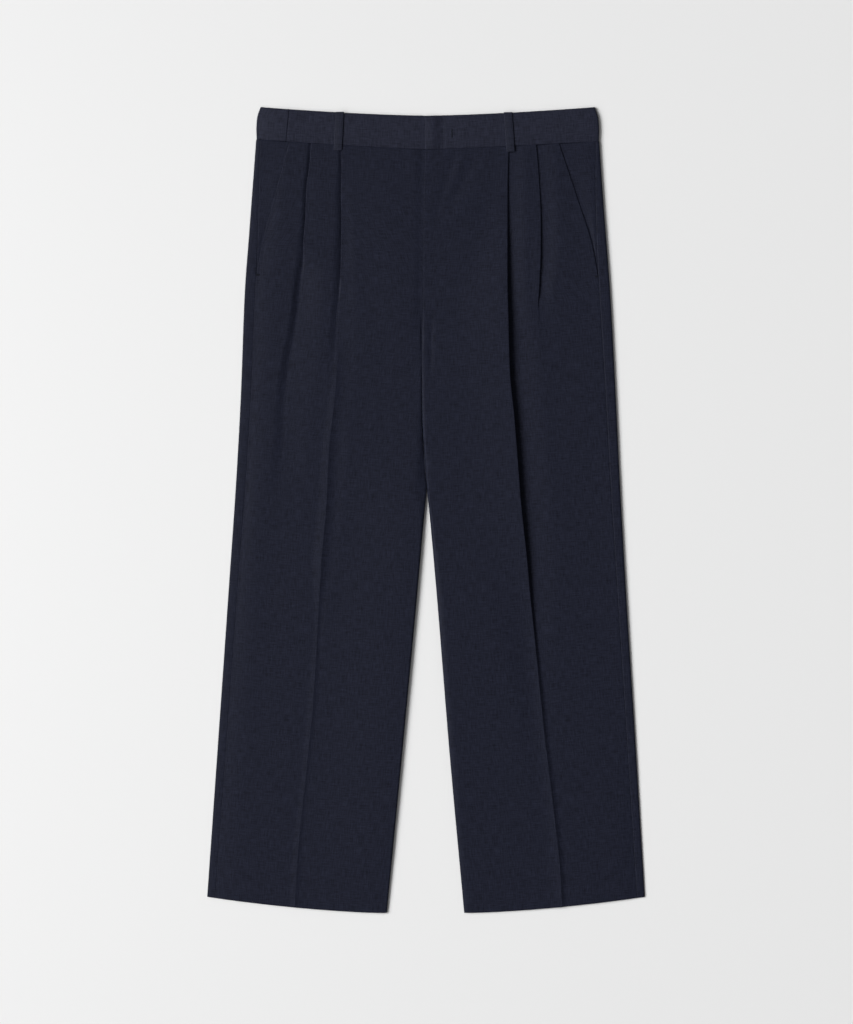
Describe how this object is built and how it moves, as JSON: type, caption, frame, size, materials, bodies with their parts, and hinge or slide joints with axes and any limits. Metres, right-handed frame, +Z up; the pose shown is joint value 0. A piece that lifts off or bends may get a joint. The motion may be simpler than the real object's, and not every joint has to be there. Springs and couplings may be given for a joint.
{
  "type": "double-pleated trousers",
  "caption": "Navy wool trousers laid flat, with pressed front pleats running into creases, slanted pockets, a lapped fly and a waistband with belt loops.",
  "frame": {"origin": "middle of the underside, on the surface that the trousers lie on", "axes": "+Y from the hems to the waist, +X to the wearer's left, +Z up through the front of the trousers"},
  "size_m": [0.5472, 1.008, 0.0118],
  "materials": {
    "wool_cloth": "matt plain-woven wool, dark navy",
    "band_cloth": "the same wool over a stiff interlining"
  },
  "bodies": {
    "root": {"back_panel_right": "wool_cloth", "front_panel_right": "wool_cloth", "pocket_facing_right": "wool_cloth", "belt_loop_right": "band_cloth", "back_panel_left": "wool_cloth", "front_panel_left": "wool_cloth", "pocket_facing_left": "wool_cloth", "belt_loop_left": "band_cloth", "waistband_right_back": "band_cloth", "waistband_right_front": "band_cloth", "waistband_left": "band_cloth"}
  },
  "joints": []
}
